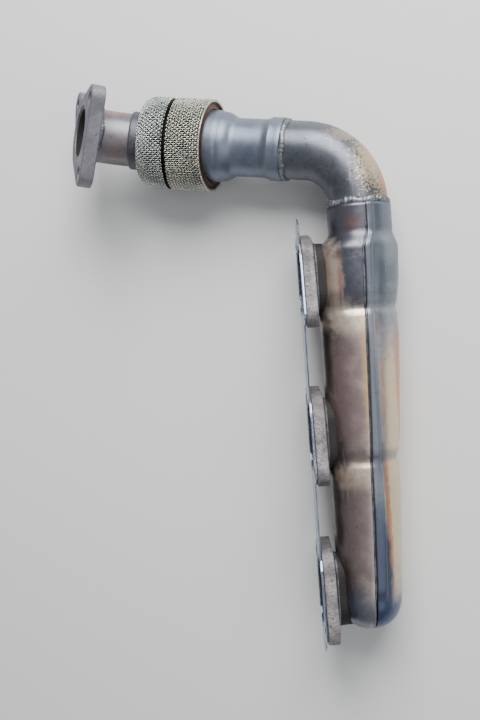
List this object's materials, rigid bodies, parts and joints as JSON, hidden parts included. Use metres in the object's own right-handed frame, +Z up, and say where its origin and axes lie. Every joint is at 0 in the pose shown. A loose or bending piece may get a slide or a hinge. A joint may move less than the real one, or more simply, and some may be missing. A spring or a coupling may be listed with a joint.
{
  "type": "exhaust manifold",
  "caption": "Sheet-steel exhaust manifold: a lapped two-half collector with separate port flanges, an elbow, a knitted flexible joint and an eared outlet flange.",
  "frame": {"origin": "centre of the bounding box's footprint, on the surface the manifold lies on", "axes": "+Z up off that surface; +Y along the row of ports towards the neck and elbow; -X, turned up by the resting tilt, is the way the port faces look"},
  "size_m": [0.2318, 0.4082, 0.0878],
  "materials": {
    "port_shell": "heat-tinted bronze and cream pressed stainless sheet",
    "outer_shell": "blue-grey oxidised pressed stainless sheet with straw and red bands",
    "flange_steel": "pitted rough grey scale",
    "outlet_steel": "machined face, dull purple-grey scale",
    "gasket_steel": "thin bright sheet",
    "pipe_steel": "dark grey heat oxide with straw speckle",
    "grey_pipe": "dull blue-grey heat oxide",
    "outlet_pipe_steel": "grey with coppery tint",
    "wire_mesh": "knitted bare stainless wire",
    "inner_steel": "brown heat oxide",
    "rust_brown": "brown oxide with orange edge",
    "weld_metal": "rippled weld bead"
  },
  "bodies": {
    "manifold": {"elbow_pipe": "pipe_steel", "elbow_weld": "weld_metal", "gasket": "gasket_steel", "inlet_cap": "rust_brown", "inlet_mesh_ring": "wire_mesh", "inlet_pipe": "grey_pipe", "inlet_sleeve": "inner_steel", "liner_lower": "inner_steel", "liner_middle": "inner_steel", "liner_upper": "inner_steel", "neck_weld": "weld_metal", "port_collar_1": "inner_steel", "port_collar_2": "inner_steel", "port_collar_3": "inner_steel", "port_flange_1": "flange_steel", "port_flange_2": "flange_steel", "port_flange_3": "flange_steel", "port_weld_1": "weld_metal", "port_weld_2": "weld_metal", "port_weld_3": "weld_metal", "seam_weld_lower": "weld_metal", "seam_weld_upper": "weld_metal", "shell_outer_side": "outer_shell", "shell_port_side": "port_shell"},
    "gas_sleeve": {"floating_sleeve": "inner_steel"},
    "bellows_body": {"bellows": "inner_steel"},
    "outlet": {"outlet_mesh_ring": "wire_mesh", "outlet_cap": "outlet_pipe_steel", "outlet_pipe": "outlet_pipe_steel", "outlet_weld": "weld_metal", "outlet_flange": "outlet_steel"}
  },
  "joints": [
    {"name": "flex_stretch", "type": "slide", "parent": "manifold", "child": "gas_sleeve", "axis": [-0.9783, 0.1719, 0.116], "range_m": [-0.0005, 0.002], "stiffness_N_per_m": 4000, "deforming": ["bellows"]},
    {"name": "flex_swing", "type": "hinge", "parent": "gas_sleeve", "child": "bellows_body", "pos_m": [-0.03753, 0.15736, 0.03416], "axis": [0.1213, 0.0204, 0.9924], "range_deg": [-2, 2], "stiffness_Nm_per_rad": 15, "deforming": ["bellows"]},
    {"name": "flex_tilt", "type": "hinge", "parent": "bellows_body", "child": "outlet", "pos_m": [-0.03753, 0.15736, 0.03416], "axis": [-0.1683, -0.9849, 0.0408], "range_deg": [-2, 2], "stiffness_Nm_per_rad": 15, "deforming": ["bellows"]}
  ]
}
